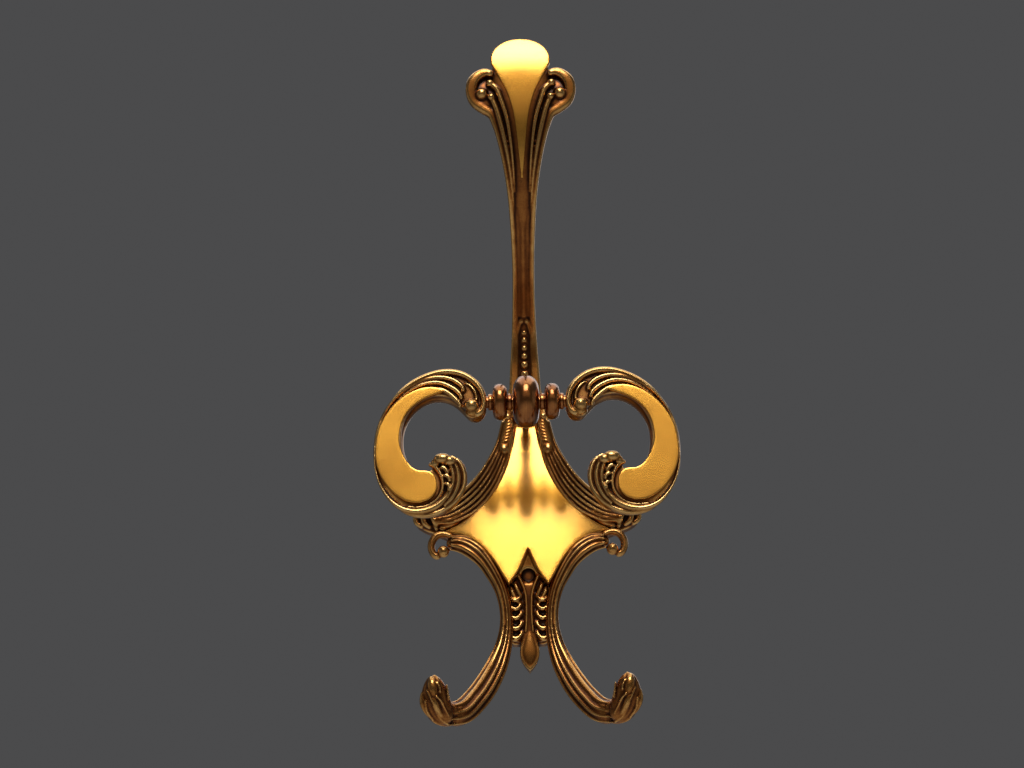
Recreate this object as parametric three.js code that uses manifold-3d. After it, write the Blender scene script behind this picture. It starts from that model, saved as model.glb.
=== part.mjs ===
// Cast brass hall hook: a shield back plate, a hat hook above it, two lower coat hooks, and a pair of
// C-scroll side arms that swing together on a turned crossbar.
// Units are millimetres. X runs to the right, Z up, and the wall is the plane Y = 0, so the hook stands
// out towards -Y. "Depth" below means the distance in front of the wall, which is -Y. The origin is on the
// back face, on the centre line, level with the two side points of the shield.
import * as THREE from "three";
import { mergeVertices } from "three/addons/utils/BufferGeometryUtils.js";
import Module from "manifold-3d";

const wasm = await Module();
wasm.setup();

// ---- Driving dimensions ----
const PLATE = { thick: 4.4, recess: 3.2, railFront: 8.6, bevel: 0.5 };
const SHIELD = { back: 3.5, front: 9.2, slope: 6.5 }; // front is its depth at Z = 0, slope in degrees
const AXIS = { depth: 40, height: 33.4 }; // the crossbar's centre line, along X
const ROD = { radius: 2, boreGap: 0.3, reach: 17.6 };
const BARREL = { radius: 8.9, halfWidth: 4.4 };
const BOBBIN = { radius: 6.1, from: 6.2, to: 11.2 };
const COLLAR = { radius: 3.1 };
const ARM = { start: 13, back: 35.6, front: 44, face: 0.7 };
const SHANK = { radius: 3.6, foot: 9.8, height: 38 };
const SCREW_HOLE = { z: -16.7, radius: 2.4 };
const KEYHOLE = { z: 13, headRadius: 4.2, slotRadius: 2.3, slotRise: 8 };
const SCREW = { radius: 1.25, head: 2.1, headDepth: 1.5 };
const HAT = { footBottom: 35, footBack: 4.7 };
const ROUND = 20; // facets round a turned part
const SPAN_STEPS = 2; // straight pieces between two points of a smooth outline

// ---- Colours of the two finishes ----
const SATIN = { color: 0xc98a2b, roughness: 0.32, metalness: 1 };
const ANTIQUE = { color: 0x7a4a1c, roughness: 0.45, metalness: 1 };
const COPPERED = { color: 0x8a4a1a, roughness: 0.35, metalness: 1 };
const STEEL = { color: 0xa8a8a8, roughness: 0.4, metalness: 1 };

const part = new THREE.Group();

function add(name, geometry, finish) {
  const mesh = new THREE.Mesh(geometry, new THREE.MeshStandardMaterial(finish));
  mesh.name = name;
  part.add(mesh);
  return mesh;
}

// ---- Joining and cutting ----
function toSolid(geometry) {
  const bare = geometry.clone();
  bare.deleteAttribute("normal");
  bare.deleteAttribute("uv");
  const merged = mergeVertices(bare, 1e-4);
  return new wasm.Manifold(
    new wasm.Mesh({
      numProp: 3,
      vertProperties: new Float32Array(merged.attributes.position.array),
      triVerts: new Uint32Array(merged.index.array),
    }),
  );
}

function toGeometry(solid) {
  const mesh = solid.getMesh();
  const geometry = new THREE.BufferGeometry();
  geometry.setAttribute("position", new THREE.BufferAttribute(mesh.vertProperties, 3));
  geometry.setIndex(new THREE.BufferAttribute(mesh.triVerts, 1));
  geometry.computeVertexNormals();
  return geometry;
}

function join(...geometries) {
  return geometries.map(toSolid).reduce((whole, piece) => whole.add(piece));
}

function cut(solid, ...geometries) {
  return geometries.map(toSolid).reduce((whole, piece) => whole.subtract(piece), solid);
}

function mirrored(points) {
  return points.map(([x, ...rest]) => [-x, ...rest]).reverse();
}

// ---- Shapes ----
// A closed outline in X and Z through the points; each list of points is one smooth run.
function outline(...runs) {
  const points = [];
  for (const run of runs) {
    const curve = new THREE.SplineCurve(run.map(([x, z]) => new THREE.Vector2(x, z)));
    points.push(...curve.getPoints((run.length - 1) * SPAN_STEPS).slice(1));
  }
  return new THREE.Shape(points);
}

// A flat casting of that outline, from one depth to another.
function slab(shape, from, to, bevel = 0) {
  const geometry = new THREE.ExtrudeGeometry(shape, {
    depth: to - from - 2 * bevel,
    bevelEnabled: bevel > 0,
    bevelThickness: bevel,
    bevelSize: bevel,
    bevelOffset: -bevel,
    bevelSegments: 1,
  });
  geometry.rotateX(Math.PI / 2);
  geometry.translate(0, -(from + bevel), 0);
  return geometry;
}

// A rounded bar that follows a path. Path points are [x, z, depth, half width, half thickness].
// "across" is the direction that the bar's thickness leans towards.
function bar(path, steps, sides = 8, across = new THREE.Vector3(0, -1, 0)) {
  const centres = path.map(([x, z, depth]) => new THREE.Vector3(x, -depth, z));
  const sizes = path.map(([, , , wide, thick]) => new THREE.Vector3(wide, thick, 0));
  const line = new THREE.CatmullRomCurve3(centres);
  const size = new THREE.CatmullRomCurve3(sizes);
  const geometry = new THREE.CylinderGeometry(1, 1, 1, sides, steps);
  const position = geometry.attributes.position;
  for (let i = 0; i < position.count; i += 1) {
    const t = 0.5 - position.getY(i);
    const along = line.getTangent(t);
    const side = new THREE.Vector3().crossVectors(along, across).normalize();
    const front = new THREE.Vector3().crossVectors(side, along).normalize();
    const half = size.getPoint(t);
    const point = line.getPoint(t);
    point.addScaledVector(side, position.getX(i) * half.x);
    point.addScaledVector(front, -position.getZ(i) * half.y);
    position.setXYZ(i, point.x, point.y, point.z);
  }
  return geometry;
}

// A turned piece about the crossbar. The profile is [distance along X, radius].
function turned(profile) {
  const points = profile.map(([x, radius]) => new THREE.Vector2(radius, x));
  const geometry = new THREE.LatheGeometry(points, ROUND);
  geometry.rotateZ(-Math.PI / 2);
  geometry.translate(0, -AXIS.depth, AXIS.height);
  return geometry;
}

// A ring on the rod with a rounded rim, from one X to another.
function bead(from, to, radius, hub) {
  const bore = ROD.radius + ROD.boreGap;
  const middle = (from + to) / 2;
  const half = (to - from) / 2;
  const rim = [-78, -40, 0, 40, 78].map((degrees) => {
    const turn = (degrees * Math.PI) / 180;
    return [middle + half * Math.sin(turn), hub + (radius - hub) * Math.cos(turn)];
  });
  return turned([[from, bore], [from, hub], ...rim, [to, hub], [to, bore], [from, bore]]);
}

function upright(radius, from, to, x, z, facets = ROUND) {
  const geometry = new THREE.CylinderGeometry(radius, radius, to - from, facets);
  geometry.translate(x, -(from + to) / 2, z);
  return geometry;
}

function ball(x, z, depth, radius) {
  const geometry = new THREE.SphereGeometry(radius, 10, 8);
  geometry.translate(x, -depth, z);
  return geometry;
}

// ---- Back plate: frame, side flourishes and the drop leaf with the screw hole ----
const SHIELD_EDGE = {
  top: [[0, 34.5], [3.8, 34.5]],
  upper: [[3.8, 34.5], [5.2, 30.5], [7.4, 24.6], [10.4, 18], [13.8, 11.6], [18.6, 5.4], [23.2, 1.8], [28.2, -0.2]],
  tip: [[28.2, -0.2], [28.2, -2]],
  lower: [[28.2, -2], [23.4, -3], [18.6, -5.6], [14, -9.8], [10.6, -14.6], [8.3, -18.6], [6.6, -21.4]],
  notch: [[6.6, -21.4], [3.8, -17.2], [1.7, -12.6], [0, -8.4]],
};
const PLATE_EDGE = {
  neck: [[0, 55], [5.2, 53], [6.6, 46], [8.6, 39]],
  rail: [[8.6, 39], [11, 30.5], [14, 24], [18.4, 17.6], [24, 12.6], [31, 8.8], [36.4, 7.6]],
  flourish: [[36.4, 7.6], [39.4, 6], [38.6, 2.6], [35.4, 0], [32.4, -1.4]],
  flank: [[32.4, -1.4], [26, -6], [20, -10.2], [14.6, -14], [11.4, -18.6], [10, -24], [10, -33], [8, -38.6]],
  lobes: [[8, -38.6], [4.2, -40.6], [2.9, -40.2]],
  tip: [[2.9, -40.2], [3.4, -43.6], [2.2, -46.6], [0, -49.6]],
};
const RAIL_LINE = [
  [6.6, 38.4, 4.4, 1.9, 3.6],
  [8.8, 30, 4.4, 1.9, 4],
  [11.6, 23.4, 4.4, 2.2, 4.1],
  [15.8, 16.2, 4.4, 2.4, 4.1],
  [21.4, 9.8, 4.4, 2.7, 4],
  [28, 5, 4.4, 3, 3.4],
  [34.4, 3.6, 4, 2.9, 2.6],
];

function bothSides(make, points) {
  return [make(points), make(mirrored(points))];
}

function closedBySide(edges) {
  return outline(...edges, ...[...edges].reverse().map(mirrored));
}

function backPlate() {
  const shape = closedBySide(Object.values(PLATE_EDGE));
  const shieldShape = closedBySide(Object.values(SHIELD_EDGE));
  let solid = join(
    slab(shape, 0, PLATE.thick, PLATE.bevel),
    ...bothSides((line) => bar(line, 14, 8), RAIL_LINE),
    bar([[0, -9.4, 4, 0.6, 2], [0, -24, 4.4, 1.6, 2.6], [0, -36, 4.4, 1.4, 2.8], [0, -48, 3.4, 1.4, 1.2]], 8, 6),
    bar([[0, 54, 2.6, 5.4, 2.2], [0, 44, 2.6, 5.6, 2.2]], 3, 8),
  );
  const gap = 0.3;
  solid = cut(
    solid,
    slab(shieldShape, PLATE.recess, PLATE.railFront + 4),
    // Everything behind the wall plane, so that the back is one flat face.
    new THREE.BoxGeometry(200, 20, 200).translate(0, 10, 0),
    upright(SCREW_HOLE.radius, -1, 12, 0, SCREW_HOLE.z),
    upright(KEYHOLE.headRadius, -1, 8, 0, KEYHOLE.z),
    upright(KEYHOLE.slotRadius, -1, 8, 0, KEYHOLE.z + KEYHOLE.slotRise, 16),
    new THREE.BoxGeometry(2 * KEYHOLE.slotRadius, 9, KEYHOLE.slotRise).translate(
      0,
      -3.5,
      KEYHOLE.z + KEYHOLE.slotRise / 2,
    ),
    upright(SCREW.radius + gap, -1, 12, 0, SHANK.height, 16),
    upright(SCREW.head + gap, -1, SCREW.headDepth + gap, 0, SHANK.height, 16),
    // The seat of the hat hook's foot.
    new THREE.BoxGeometry(11.8, 12, 30).translate(0, -(HAT.footBack - gap + 6), HAT.footBottom - gap + 15),
  );
  for (const [x, z] of HOOK_SCREWS) {
    for (const side of [-1, 1]) {
      solid = cut(
        solid,
        upright(SCREW.radius + gap, -1, 12, side * x, z, 12),
        upright(SCREW.head + gap, -1, SCREW.headDepth + gap, side * x, z, 12),
      );
    }
  }
  return solid;
}

// ---- Lower coat hooks: a volute, a strand along the shield's flank, and the hook itself ----
const HOOK_SCREWS = [[20.4, -5.9], [6.9, -33]];
const HOOK_LINE = [
  [27.8, -4.6, 6.9, 2.5, 2.2],
  [23.8, -5.6, 7.2, 2.7, 2.5],
  [19.4, -8, 7.4, 2.7, 2.7],
  [15.2, -12.2, 7.5, 2.3, 2.8],
  [12.1, -17, 7.4, 2.1, 2.7],
  [9.5, -21.6, 7.2, 1.9, 2.5],
  [8, -27.6, 7, 1.7, 2.3],
  [7.6, -34, 7, 1.9, 2.3],
  [8.6, -41, 7.6, 2.4, 2.3],
  [10.8, -48, 9.4, 3, 2.7],
  [14, -55.2, 12.8, 3.5, 3.2],
  [18.4, -62.4, 17.4, 3.7, 3.5],
  [23.8, -67.6, 22.4, 3.8, 3.8],
  [28.6, -67.6, 27.2, 4.2, 4.2],
  [31, -63.4, 30.6, 4.2, 3.8],
  [31, -58.2, 32, 2, 1.9],
];
const VOLUTE = [
  [27.4, -4.2, 6.6, 1.4, 1.7],
  [31.2, -3.4, 6.6, 1.3, 1.7],
  [32.4, -6.4, 6.6, 1.3, 1.7],
  [30.9, -9.4, 6.6, 1.2, 1.7],
  [28.8, -8.6, 6.6, 1, 1.7],
];

function lowerHook(side) {
  const turn = (points) => points.map(([x, ...rest]) => [side * x, ...rest]);
  const back = PLATE.thick + 0.3;
  let solid = join(
    bar(turn(HOOK_LINE), 44, 10),
    bar(turn(VOLUTE), 10, 8),
    ball(side * 29.8, -7.2, 6.8, 1.7),
  );
  // The strand lies flat on the plate; only below the plate does it come forward.
  const plateZone = new THREE.BoxGeometry(60, 20, 50).translate(side * 30, 10 - back, -15);
  solid = cut(solid, plateZone);
  for (const [x, z] of HOOK_SCREWS) {
    solid = cut(solid, upright(SCREW.radius + 0.1, -1, 7.4, side * x, z, 12));
  }
  return solid;
}

// ---- Shield panel: polished, in the frame's recess, and a little thicker towards its foot ----
function shieldPanel() {
  const shape = closedBySide(Object.values(SHIELD_EDGE));
  const geometry = new THREE.ExtrudeGeometry(shape, {
    depth: 12,
    bevelEnabled: true,
    bevelThickness: 0.1,
    bevelSize: 0.1,
    bevelOffset: -0.4,
    bevelSegments: 1,
  });
  geometry.rotateX(Math.PI / 2);
  const front = new THREE.BoxGeometry(90, 30, 120).translate(0, -15, 0);
  front.rotateX((-SHIELD.slope * Math.PI) / 180);
  front.translate(0, -SHIELD.front, 0);
  return cut(toSolid(geometry), front, new THREE.BoxGeometry(90, 20, 90).translate(0, 10 - SHIELD.back, 0));
}

// ---- Hat hook: foot, stem that leans out from the wall, and the flared head with two scroll ears ----
// [x, z, depth, half width, half thickness] of the stem's middle.
const HAT_STEM = [
  [0, 35, 7.1, 5.4, 2.7],
  [0, 45, 7.1, 5.6, 2.7],
  [0, 56, 7.5, 5.4, 2.6],
  [0, 66, 9.2, 4.5, 2.3],
  [0, 76, 15.4, 3.9, 2.4],
  [0, 86, 25.4, 3.8, 2.5],
  [0, 95.4, 36, 3.9, 2.5],
  [0, 105, 46, 4.6, 2.4],
  [0, 117.6, 54.4, 7, 2.2],
  [0, 129, 59.2, 10.4, 2],
  [0, 137, 61.6, 13, 1.9],
];
const HAT_DISC = [
  [0, 130, 59.4, 6, 1.9],
  [0, 138, 62, 7.4, 1.9],
  [0, 146, 63.6, 10, 1.8],
  [0, 152, 64.2, 9.8, 1.8],
  [0, 156.4, 64, 6.6, 1.6],
  [0, 158.4, 63.7, 2.6, 1.2],
];
const EAR = [
  [7.4, 137, 61.6, 3, 2],
  [10.4, 144.6, 62.6, 2.4, 2],
  [14.6, 146.4, 62.4, 2.1, 2],
  [17.4, 142.6, 61.6, 1.9, 2],
  [17, 137, 60.6, 2.1, 2],
  [13.6, 133.6, 60, 2, 1.9],
];

function hatHook() {
  const across = new THREE.Vector3(1, 0, 0);
  const lift = (points) => points.map(([x, z, depth, wide, thick]) => [x, z, depth, thick, wide]);
  const ears = bothSides((line) => bar(line, 14, 8), EAR);
  const solid = join(
    bar(lift(HAT_STEM), 30, 10, across),
    bar(lift(HAT_DISC), 12, 12, across),
    ...ears,
    ball(14.6, 138.6, 61.6, 2.9),
    ball(-14.6, 138.6, 61.6, 2.9),
  );
  return cut(
    solid,
    upright(SCREW.radius + 0.3, 0, 14, 0, SHANK.height, 16),
    // A flat back to the foot, and a clear space for the shank in front of it.
    new THREE.BoxGeometry(20, 10, 34).translate(0, 5 - HAT.footBack, 40),
    new THREE.BoxGeometry(20, 10, 12).translate(0, -(SHANK.foot - 0.3 + 5), SHANK.height),
  );
}

// ---- Hub: the fixed barrel in the middle of the crossbar, on a shank from the plate ----
function hub() {
  const barrel = bead(-BARREL.halfWidth, BARREL.halfWidth, BARREL.radius, 4.2);
  const shank = upright(SHANK.radius, SHANK.foot, AXIS.depth - ROD.radius - 2, 0, SHANK.height);
  return cut(
    join(barrel, shank),
    upright(SCREW.radius + 0.1, 5, 18, 0, SHANK.height, 16),
    turned([[-6, 0], [-6, ROD.radius + ROD.boreGap], [6, ROD.radius + ROD.boreGap], [6, 0]]),
  );
}

// ---- Screws, put in from the back ----
function screw(x, z, length) {
  const head = new THREE.CylinderGeometry(SCREW.head, SCREW.head, SCREW.headDepth, 12);
  head.translate(x, -SCREW.headDepth / 2, z);
  return join(head, upright(SCREW.radius, SCREW.headDepth / 2, length, x, z, 12));
}

// ---- Side arms ----
const ARM_OUTER = [
  [13, 32.5], [13.3, 37.6], [16.1, 41.3], [20, 43.6], [25.1, 44.5], [30.8, 43.9], [36.5, 41.7], [42, 38],
  [46.5, 32.5], [49.7, 25.8], [50.9, 18.6], [50.5, 11.1], [48.1, 4.2], [44, -1.5], [38.5, -5.2], [32.4, -6.3],
  [26.9, -4.8], [22.6, -1.3], [20.2, 3.6], [19.6, 8.5], [21, 12.5], [24.1, 14.6],
];
const ARM_LEAF_TOP = [[24.1, 14.6], [27.9, 14.4], [30, 12.3], [30.8, 9.7]];
const ARM_INNER = [
  [30.8, 9.7], [33, 8.7], [35.9, 9.1], [38.5, 11.9], [40.1, 15.8], [40.6, 19.9], [40, 24.6], [37.9, 29],
  [34.7, 32.3], [31, 34], [26.9, 33.9], [23.4, 32], [20.8, 29.2],
];
const ARM_EYE = [[20.8, 29.2], [18.3, 26.8], [15.1, 27.2], [13.2, 29.7], [13, 32.5]];
const CRESCENT = {
  outer: [
    [26.9, 36.4], [30.8, 37.5], [34.6, 37.2], [38.3, 35.7], [42, 33.1], [45.7, 29], [48.3, 23.7], [49.4, 17.8],
    [49.1, 11.5], [46.9, 5.4], [43, 0.5], [37.9, -2.4], [34.7, -2.5],
  ],
  end: [[34.7, -2.5], [31.8, -1.3], [30, 1.3], [29.6, 4], [30.6, 6.6], [32.4, 8.1]],
  inner: [
    [32.4, 8.1], [35.9, 8.5], [39.2, 11.8], [41, 15.4], [41.7, 19.5], [41.4, 24], [39.9, 28.1], [37.1, 31.3],
    [33.6, 33.9], [30, 35.4], [26.9, 36.4],
  ],
};

function sideArm(side) {
  const turn = (run) => run.map(([x, z]) => [side * x, z]);
  const body = outline(turn(ARM_OUTER), turn(ARM_LEAF_TOP), turn(ARM_INNER), turn(ARM_EYE));
  const face = outline(turn(CRESCENT.outer), turn(CRESCENT.end), turn(CRESCENT.inner));
  const solid = join(
    slab(body, ARM.back, ARM.front, 1),
    slab(face, ARM.front - 1, ARM.front + ARM.face, 0.3),
    ball(side * 17.3, 30.5, ARM.front - 0.6, 2.8),
    bar([[side * 24.5, -1.3, 42, 3, 3.4], [side * 23.6, 5.6, 42.6, 3.2, 3.6], [side * 25.5, 11.5, 42, 2.6, 3]], 6, 8),
  );
  const bore = turned([[0, 0], [0, ROD.radius + 0.1], [ROD.reach + 0.3, ROD.radius + 0.1], [ROD.reach + 0.3, 0]]);
  if (side < 0) bore.scale(-1, 1, 1);
  return side < 0 ? solid.subtract(flipped(bore)) : cut(solid, bore);
}

// A mirrored copy has its faces turned back outwards.
function flipped(geometry) {
  const index = geometry.index.array;
  for (let i = 0; i < index.length; i += 3) [index[i + 1], index[i + 2]] = [index[i + 2], index[i + 1]];
  return toSolid(geometry);
}

// ---- Assembly ----
add("back_plate", toGeometry(backPlate()), ANTIQUE);
add("shield_panel", toGeometry(shieldPanel()), SATIN);
add("hat_hook", toGeometry(hatHook()), ANTIQUE);
add("hub_barrel", toGeometry(hub()), COPPERED);
add("crossbar_rod", turned([[-ROD.reach, 0], [-ROD.reach, ROD.radius], [ROD.reach, ROD.radius], [ROD.reach, 0]]), STEEL);
add("hub_screw", toGeometry(screw(0, SHANK.height, 16)), STEEL);
for (const [word, side] of [["left", -1], ["right", 1]]) {
  add(`lower_hook_${word}`, toGeometry(lowerHook(side)), ANTIQUE);
  add(`side_arm_${word}`, toGeometry(sideArm(side)), ANTIQUE);
  const rings = [
    ["inner_collar", BARREL.halfWidth + 0.2, BOBBIN.from, COLLAR.radius, 2.6],
    ["bobbin", BOBBIN.from, BOBBIN.to, BOBBIN.radius, 3.4],
    ["outer_collar", BOBBIN.to, ARM.start - 0.4, COLLAR.radius, 2.6],
  ];
  for (const [piece, from, to, radius, hubRadius] of rings) {
    const [low, high] = side > 0 ? [from, to] : [-to, -from];
    add(`${piece}_${word}`, bead(low, high, radius, hubRadius), COPPERED);
  }
  HOOK_SCREWS.forEach(([x, z], i) => {
    add(`hook_screw_${word}_${i ? "lower" : "upper"}`, toGeometry(screw(side * x, z, 6.6)), STEEL);
  });
}

export default part;
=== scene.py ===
import math

import bmesh
import bpy
import numpy as np
from mathutils import Matrix, Vector
from mathutils.geometry import tessellate_polygon


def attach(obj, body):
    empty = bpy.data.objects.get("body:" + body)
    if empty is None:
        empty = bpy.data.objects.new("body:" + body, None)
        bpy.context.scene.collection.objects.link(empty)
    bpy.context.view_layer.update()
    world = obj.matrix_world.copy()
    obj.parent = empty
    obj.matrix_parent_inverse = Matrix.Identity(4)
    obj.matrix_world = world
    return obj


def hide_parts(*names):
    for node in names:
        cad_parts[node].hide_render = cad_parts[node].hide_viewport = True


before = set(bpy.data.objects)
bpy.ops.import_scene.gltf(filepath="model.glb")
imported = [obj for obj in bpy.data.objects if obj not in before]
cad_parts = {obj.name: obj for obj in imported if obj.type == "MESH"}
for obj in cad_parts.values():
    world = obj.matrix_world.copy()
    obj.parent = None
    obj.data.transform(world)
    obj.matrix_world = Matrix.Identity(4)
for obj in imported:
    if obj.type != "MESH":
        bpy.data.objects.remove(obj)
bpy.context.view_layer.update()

MM = 0.001
SIDES = (("left", -1), ("right", 1))

# Everything below is drawn in millimetres as (x, z, depth), where depth is the distance in front of the
# wall plane. The tools turn it into metres in the CAD frame.

# Axis of the crossbar, which the side arms turn about.
AXIS_DEPTH = 40.0
AXIS_HEIGHT = 33.4
# Voxel size of each casting's skin. A finer one shows thinner ribs and makes more faces.
ARM_VOXEL = 0.24
PLATE_VOXEL = 0.335
HOOK_VOXEL = 0.26
HAT_VOXEL = 0.3
POST_VOXEL = 0.3
# How far a point stands out is measured against the skin relaxed a little and a lot: rounds, then height.
NEAR_ROUNDS, NEAR_HEIGHT = 6, 0.06
WIDE_ROUNDS, WIDE_HEIGHT = 45, 0.4


# ---------------------------------------------------------------- drawing tools

def resample(rows, stations):
    """Smooth curve through rows, read at the given shares of its length. Returns the rows and the length."""
    rows = np.asarray(rows, float)
    gaps = np.linalg.norm(np.diff(rows[:, :3], axis=0), axis=1)
    at = np.concatenate([[0.0], np.cumsum(gaps)])
    if len(rows) > 2:
        slope = np.gradient(rows, at, axis=0)
    else:
        slope = np.repeat(np.diff(rows, axis=0) / gaps[0], 2, axis=0)
    s = np.clip(np.asarray(stations) * at[-1], 0, at[-1])
    i = np.clip(np.searchsorted(at, s, side="right") - 1, 0, len(gaps) - 1)
    h = gaps[i][:, None]
    t = ((s - at[i]) / gaps[i])[:, None]
    out = (
        (2 * t**3 - 3 * t**2 + 1) * rows[i]
        + (t**3 - 2 * t**2 + t) * h * slope[i]
        + (-2 * t**3 + 3 * t**2) * rows[i + 1]
        + (t**3 - t**2) * h * slope[i + 1]
    )
    return out, at[-1]


def outline(*runs, step=0.6):
    """A closed outline as (x, z) points; each run of points is one smooth curve."""
    points = []
    for run in runs:
        rows = [(x, z, 0) for x, z in run]
        length = sum(math.dist(a, b) for a, b in zip(rows, rows[1:]))
        count = max(1, round(length / step))
        found, _ = resample(rows, np.linspace(0, 1, count + 1))
        points += [tuple(p[:2]) for p in found[:-1]]
    return points


def mirror_run(run):
    """A run of (x, z) points on the other side, in the order that carries the outline on."""
    return [(-x, z) for x, z in reversed(run)]


def both_sides(*runs):
    """The runs of the right half of an outline, from top to foot, and then those of the left half."""
    return [*runs, *[mirror_run(run) for run in reversed(runs)]]


class Casting:
    """Collects closed shapes that are one casting in the end."""

    def __init__(self):
        self.points, self.faces, self.count = [], [], 0

    def add(self, points, faces):
        self.points.append(np.asarray(points, float))
        self.faces += [tuple(i + self.count for i in face) for face in faces]
        self.count += len(points)

    def stroke(self, *rows, side=1, sides=12, step=0.5, front=(0, -1, 0), blunt=1.0, square=1.0):
        """A rib along rows of (x, z, depth, half width, half height), with rounded ends.

        A side of -1 mirrors it. A blunt below 1 shortens its ends, and a square below 1 boxes its section.
        """
        rows = np.asarray(rows, float)
        rows[:, 0] *= side
        _, length = resample(rows, [0, 1])
        ends = [min(rows[k, 3] * blunt, length / 2.2) for k in (0, -1)]
        round_off = 1 - np.cos(np.linspace(0, math.pi / 2, 6))
        middle = np.linspace(ends[0], length - ends[1], max(3, int(length / step)))
        s = np.concatenate([ends[0] * round_off[:-1], middle, length - ends[1] * round_off[-2::-1]])
        taper = np.ones(len(s))
        for k, gap in ((0, s), (1, length - s)):
            near = gap < ends[k]
            taper[near] = np.sqrt(np.clip(1 - (1 - gap[near] / ends[k]) ** 2, 0, 1))
        found, _ = resample(rows, s / length)
        centre = np.column_stack([found[:, 0], -found[:, 2], found[:, 1]])
        along = np.gradient(centre, s, axis=0)
        along /= np.linalg.norm(along, axis=1)[:, None]
        across = np.cross(along, np.asarray(front, float))
        across /= np.linalg.norm(across, axis=1)[:, None]
        up = np.cross(across, along)
        turn = np.linspace(0, 2 * math.pi, sides, endpoint=False)
        wide = (found[:, 3] * taper)[:, None] * np.sign(np.cos(turn)) * np.abs(np.cos(turn)) ** square
        high = (found[:, 4] * taper)[:, None] * np.sign(np.sin(turn)) * np.abs(np.sin(turn)) ** square
        rings = centre[:, None] + wide[..., None] * across[:, None] + high[..., None] * up[:, None]
        inner = rings[1:-1]
        n = len(inner)
        points = np.concatenate([inner.reshape(-1, 3), centre[:1], centre[-1:]])
        faces = []
        for i in range(n - 1):
            for j in range(sides):
                k = (j + 1) % sides
                faces.append((i * sides + j, i * sides + k, (i + 1) * sides + k, (i + 1) * sides + j))
        first, last = n * sides, n * sides + 1
        faces += [(first, (j + 1) % sides, j) for j in range(sides)]
        faces += [(last, (n - 1) * sides + j, (n - 1) * sides + (j + 1) % sides) for j in range(sides)]
        self.add(points, faces)

    def ball(self, x, z, depth, radius, side=1, stretch=(1, 1, 1)):
        """A ball or bead, stretched across, up and outwards from the wall."""
        rings, sides = 10, 16
        turns = [2 * math.pi * j / sides for j in range(sides)]
        points, faces = [(0, 0, 1)], []
        for i in range(1, rings):
            a = math.pi * i / rings
            points += [(math.sin(a) * math.cos(b), math.sin(a) * math.sin(b), math.cos(a)) for b in turns]
        points.append((0, 0, -1))
        for j in range(sides):
            k = (j + 1) % sides
            faces.append((0, 1 + j, 1 + k))
            for i in range(rings - 2):
                upper, lower = 1 + i * sides, 1 + (i + 1) * sides
                faces.append((upper + j, lower + j, lower + k, upper + k))
            last = 1 + (rings - 2) * sides
            faces.append((last + j, len(points) - 1, last + k))
        spread = np.array(points) * radius * np.array([stretch[0], stretch[2], stretch[1]])
        self.add(spread + [side * x, -depth, z], faces)

    def slab(self, edge, back, front, holes=(), side=1):
        """A flat piece of that outline, from one depth to another."""
        loops = [edge, *holes]
        flat = [[Vector((side * x, z, 0)) for x, z in loop] for loop in loops]
        caps = tessellate_polygon(flat)
        ring = [p for loop in flat for p in loop]
        n = len(ring)
        points = [(p.x, -back, p.y) for p in ring] + [(p.x, -front, p.y) for p in ring]
        faces = [tuple(c) for c in caps] + [tuple(i + n for i in reversed(c)) for c in caps]
        base = 0
        for loop in loops:
            m = len(loop)
            for j in range(m):
                k = (j + 1) % m
                faces.append((base + j, base + k, base + k + n, base + j + n))
            base += m
        self.add(points, faces)

    def mesh(self, name):
        """All the shapes as one mesh, still overlapping each other."""
        mesh = bpy.data.meshes.new(name)
        mesh.from_pydata(np.concatenate(self.points).tolist(), [], self.faces)
        work = bmesh.new()
        work.from_mesh(mesh)
        bmesh.ops.recalc_face_normals(work, faces=work.faces)
        work.to_mesh(mesh)
        work.free()
        return mesh


def circle(x, z, radius):
    turns = [2 * math.pi * i / 40 for i in range(40)]
    return [(x + radius * math.cos(a), z + radius * math.sin(a)) for a in turns]


def link(name, data):
    """A new object in the scene that shows that mesh, light or camera."""
    obj = bpy.data.objects.new(name, data)
    bpy.context.scene.collection.objects.link(obj)
    return obj


def fused(name, mesh, voxel):
    """One closed skin round every shape of a casting."""
    obj = link(name, mesh)
    skin = obj.modifiers.new("skin", "REMESH")
    skin.mode = "VOXEL"
    skin.voxel_size = voxel
    skin.use_smooth_shade = True
    done = bpy.data.meshes.new_from_object(obj.evaluated_get(bpy.context.evaluated_depsgraph_get()))
    bpy.data.objects.remove(obj)
    done.name = name
    return done


def read(mesh, what="co"):
    """One row of three numbers for each point of a mesh."""
    out = np.zeros(len(mesh.vertices) * 3)
    mesh.vertices.foreach_get(what, out)
    return out.reshape(-1, 3)


def relaxed(points, edges, rounds):
    """The points after each has moved half way to the mean of its neighbours, that many times."""
    count = np.bincount(edges.ravel(), minlength=len(points))[:, None]
    for _ in range(rounds):
        total = np.column_stack(
            [
                np.bincount(edges[:, 0], points[edges[:, 1], k], len(points))
                + np.bincount(edges[:, 1], points[edges[:, 0], k], len(points))
                for k in range(3)
            ]
        )
        points = points + 0.5 * (total / count - points)
    return points


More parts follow.
